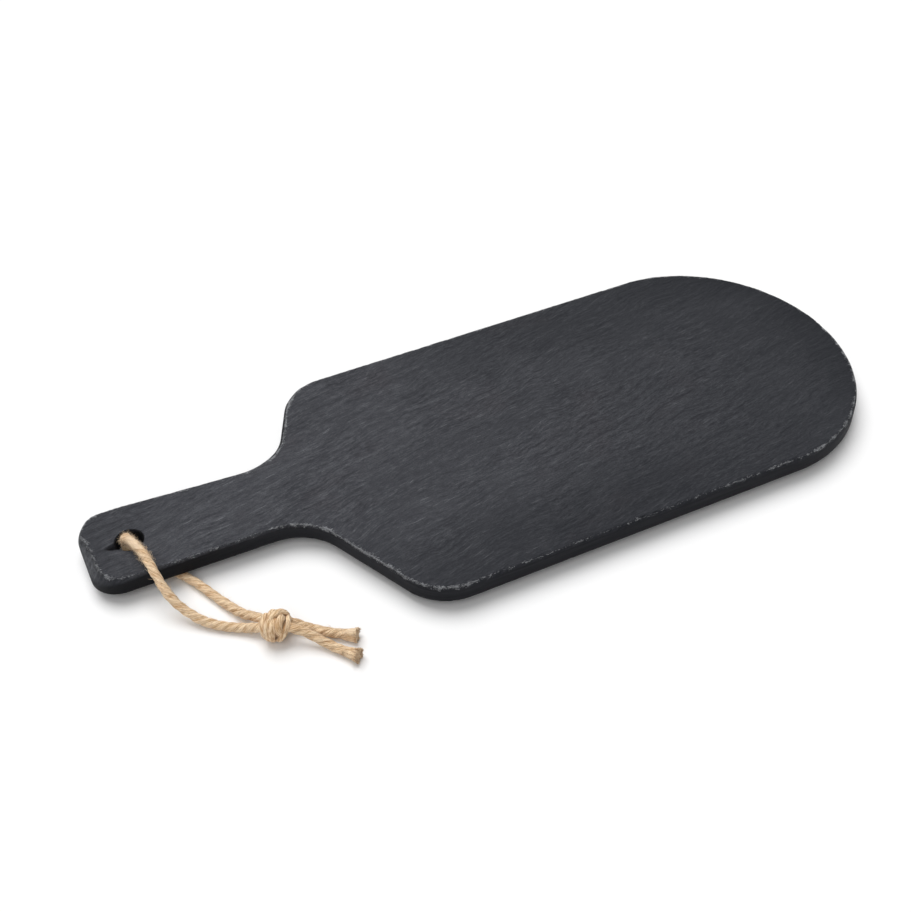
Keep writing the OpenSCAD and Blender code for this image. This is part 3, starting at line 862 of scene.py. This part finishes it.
# Each leg: its node and route, its lay at both ends, the seed of its random numbers, how much it
# swells at the hole, and how many hairs stand off it there
leg_specs = [("cord_upper_leg", upper_leg_route, (27, 13), 101, 0.2, 720),
             ("cord_lower_leg", lower_leg_route, (27, 15), 131, 0.0, 60)]
legs = []
for name, route, lays, seed, swelling, hairs in leg_specs:
    points, faces, laid_out, depth, spine = laid_cord(route, lays, 0.0, seed, False, swelling)
    # Painted light: the legs' values are shifted, so that the legs are paler than the knot and
    # tails
    leg = jute_piece(name, [(points, faces, laid_out, 1.3 * depth - 0.42),
                            fuzz(points, laid_out, spine, 200, seed + 9, 0, 95),
                            fuzz(points, laid_out, spine, hairs, seed + 10, 2, 26)], least_z)
    legs.append((leg, spine))

# Knot: both legs together are tied in an overhand knot and pulled tight, which squeezes the cord
# to about 3 mm: wraps round the axis at both ends, and crossing turns between them.
knot_r, knot_power = 5.6, 2.6
knot_place = np.array([-132.0, -58.4, 7.0])
knot_turn = math.radians(-32)
knot_along = np.array([math.cos(knot_turn), math.sin(knot_turn), 0])
knot_aside = np.array([math.sin(knot_turn), -math.cos(knot_turn), 0])
knot_up = np.array([0.0, 0.0, 1.0])
# Each turn: (along the axis, degrees round the axis from the near side upwards, height above the
# knot's round form) of its points, and its half width and half height
knot_turns = [
    ([(-4.6, 180, -0.3), (-4.9, 133, 0.1), (-5.2, 68, 0.1), (-4.9, 7, 0.1), (-3.6, -35, 0.1),
      (-2.8, -90, 0), (-3.2, -140, 0), (-4.4, -180, -0.3)], 1.75, 1.5),
    ([(3.2, 215, -0.8), (3.6, 180, 0), (3.0, 140, 0.5), (1.5, 122, 0.7), (-0.2, 98, 0.6),
      (-1.9, 80, -0.3), (-3.2, 62, -2.2)], 1.7, 1.45),
    ([(-1.0, 100, -2.2), (-2.0, 76, -0.7), (-2.7, 45, 0.15), (-2.9, 11, 0.3), (-2.3, -47, 0.3),
      (-1.2, -95, 0), (0.4, -140, 0), (1.8, -180, -0.6)], 1.6, 1.45),
    ([(1.2, 100, -2.2), (0.1, 74, -0.7), (-0.4, 42, 0.1), (-0.6, 9, 0.3), (-0.9, -47, 0.3),
      (0.4, -95, 0), (2.3, -140, 0), (3.6, -178, -0.8)], 1.6, 1.45),
    ([(3.3, 118, -1.6), (2.9, 95, -0.3), (2.2, 64, 0.2), (2.2, 36, 0.1), (3.1, 10, -0.8),
      (4.2, -10, -2.4)], 1.8, 1.4),
    ([(4.3, 200, -0.6), (4.8, 150, 0), (5.3, 101, 0.1), (5.2, 41, 0), (4.3, 10, -0.4),
      (3.0, -14, -1.4), (1.6, -30, -2.6)], 1.7, 1.4),
    ([(5.2, 20, -1.6), (4.4, 2, -0.2), (2.9, -18, 0.2), (1.5, -47, 0.1), (2.6, -95, 0),
      (4.2, -140, 0), (4.9, -180, -0.4)], 1.65, 1.4),
    ([(-1.0, 235, -1.2), (-1.8, 205, 0), (-1.6, 165, 0.1), (-2.2, 135, 0), (-3.6, 105, -1.6)],
     1.7, 1.4),
    ([(1.0, 245, -1.2), (0.8, 205, 0.1), (1.0, 165, 0), (0.2, 130, -0.6), (-1.0, 105, -2.0)],
     1.7, 1.4),
]


def on_knot(chart):
    """Places over the knot's round form, raised by a height: a body round the axis. Its radius at
    u along the axis is knot_r (1 - |u / knot_r|^knot_power)^(1 / knot_power)."""
    u, angle, height = np.array(chart, float).T
    u = np.clip(u, -5.45, 5.45)
    radius = knot_r * (1 - np.abs(u / knot_r) ** knot_power) ** (1 / knot_power)
    angle = np.radians(angle)
    out = np.cos(angle)[:, None] * knot_aside + np.sin(angle)[:, None] * knot_up
    place = u[:, None] * knot_along + radius[:, None] * out
    return knot_place + place * (1 + height / np.linalg.norm(place, axis=1))[:, None]


def squeezed_cord(chart, half_width, half_height, seed):
    """One turn of the knot: an ellipse of the half width and half height is carried over the round
    form, with its height square to it, and yarns raise ridges along it."""
    spine, s = smooth_route(on_knot(chart), 0.3)
    along = unit(np.gradient(spine, axis=0))
    out = spine - knot_place
    out = unit(out - along * (out * along).sum(1)[:, None])
    side = np.cross(out, along)
    angle = 2 * np.pi * np.arange(40) / 40
    twist = angle[None] + 2 * np.pi * s[:, None] / 30
    yarns = noise(s[:, None] / 6, twist / (2 * np.pi) * 20, seed, 20)
    yarns += 0.5 * noise(s[:, None] / 4, twist / (2 * np.pi) * 44, seed + 1, 44)
    grow = (0.93 + 0.055 * yarns)[..., None]
    ring = (half_width * np.cos(angle)[:, None] * side[:, None]
            + half_height * np.sin(angle)[:, None] * out[:, None])
    points = spine[:, None] + ring * grow
    straight = np.stack([s[:, None] + 40.0 * seed + 0 * twist, 1.6 * np.cos(twist),
                         1.6 * np.sin(twist)], 2)
    # Painted shade: a turn is darker on its side towards the knot's middle, and a little along its
    # yarns
    depth = np.clip(0.62 - np.sin(angle) * 0.9, 0, 1)[None] + 0.12 * np.abs(yarns)
    return (np.vstack([points.reshape(-1, 3), spine[0], spine[-1]]), closed_tube(points),
            np.vstack([straight.reshape(-1, 3), straight[0, :1], straight[-1, :1]]),
            np.append(depth.ravel(), [1, 1]))


def knot_core(rings, sides):
    """The squeezed cord inside the knot, a round form 0.4 mm below the turns' middle lines."""
    u = np.linspace(-5.2, 5.2, rings)
    angle = np.linspace(0, 360, sides, endpoint=False)
    grid_u, grid_angle = np.meshgrid(u, angle, indexing="ij")
    chart = np.stack([grid_u.ravel(), grid_angle.ravel(), 0 * grid_u.ravel() - 0.4], 1)
    points = on_knot(chart).reshape(rings, sides, 3)
    faces = [f[:, ::-1] for f in closed_tube(points)]
    ends = knot_place + np.outer([-5.0, 5.0], knot_along)
    points = np.vstack([points.reshape(-1, 3), ends])
    # Painted shade: the whole core is as dark as a deep groove
    return points, faces, points - knot_place, np.repeat(0.85, len(points))


turn_parts = [squeezed_cord(*turn, 200 + 5 * k) for k, turn in enumerate(knot_turns)]
knot = jute_piece("cord_knot", [*turn_parts, knot_core(24, 48)], 0.02)

# Tails: the cord's two ends beyond the knot, of the same jute. They are cut square and left to
# fray into a short brush.
left_tail_route = [
    (-126.4, -56.9, 5.0), (-123.6, -58.5, 4.1), (-121.1, -60.4, 3.1), (-118, -63, 2.5),
    (-113.7, -67, 2.4), (-109.2, -70.6, 2.5), (-105.2, -73.6, 2.9), (-102.2, -75.8, 3.2),
]
right_tail_route = [
    (-128.0, -61.8, 7.6), (-125.2, -64.1, 7.2), (-123, -65.8, 6.6), (-120.9, -67.7, 5.7),
    (-118.6, -70.2, 4.5), (-114.6, -75, 3), (-110.2, -80.8, 2.6), (-107.5, -84.2, 2.9),
    (-105.9, -86.2, 3.1),
]


def brush(spine, count, seed):
    """The loose fibres of a frayed end: half of them lie on the flared cord and open out with the
    square of the distance, and half are the cut ends that stand on its face."""
    random = np.random.default_rng(seed)
    end, way = spine[-1], unit(spine[-1] - spine[-6])
    side = unit(level_hint - way * (way @ level_hint))
    up = np.cross(way, side)
    angle = np.arange(count) * np.pi * (3 - math.sqrt(5))
    out = side * np.cos(angle)[:, None] + up * np.sin(angle)[:, None]
    cut = (np.arange(count) % 2)[:, None]
    share = np.sqrt((np.arange(count)[:, None] + 0.5) / count)
    tuft = np.floor(angle / (2 * np.pi) % 1 * 11).astype(int)
    lean = np.clip(random.normal(0, 0.24, (11, 3)), -0.35, 0.35)[tuft]
    reach = np.where(cut, 1.0, 6.8)
    base = end + out * np.where(cut, share * 3.1, 2.05) - way * reach
    length = reach + random.uniform(-0.2, 0.6, 11)[tuft, None]
    length += random.uniform(-0.2, 0.3, (count, 1))
    ways = way * length + random.normal(0, 0.14, (count, 3))
    bends = (out + lean) * (1 - cut) + out * cut * share * 0.3
    tops, faces = fibres(base, ways, bends, random.uniform(0.22, 0.4, count), 0.3)
    spots = np.stack([random.uniform(0, 60, count), *random.uniform(-9, 9, (2, count))], 1)
    joint = np.tile(np.repeat(np.arange(fibre_joints), 3), count)[:, None]
    laid_out = np.repeat(spots, 3 * fibre_joints, axis=0) + joint * [1.5, 0, 0]
    # Each fibre's tone at random, and the cut ends paler: painted light on the end face
    shade = random.uniform(-1.1, 0.9, count) - 0.5 * cut[:, 0]
    return tops, faces, laid_out, np.repeat(shade, 3 * fibre_joints)


# Each tail: its node and route, its lay at both ends, the turn of its strands where it leaves the
# knot, and the seed of its random numbers
tail_specs = [("cord_tail_left", left_tail_route, (14, 15), 0.6, 161),
              ("cord_tail_right", right_tail_route, (16, 20), 1.4, 181)]
for name, route, lays, phase, seed in tail_specs:
    points, faces, laid_out, depth, spine = laid_cord(route, lays, phase, seed, True)
    tail = jute_piece(name, [(points, faces, laid_out, depth),
                             fuzz(points, laid_out, spine, 60, seed + 9, 2, 24),
                             brush(spine, 330, seed + 12)], least_z)
    spine[0] / 1000
    spine / 1000
for leg, spine in legs:
    spine[0] / 1000
    spine / 1000
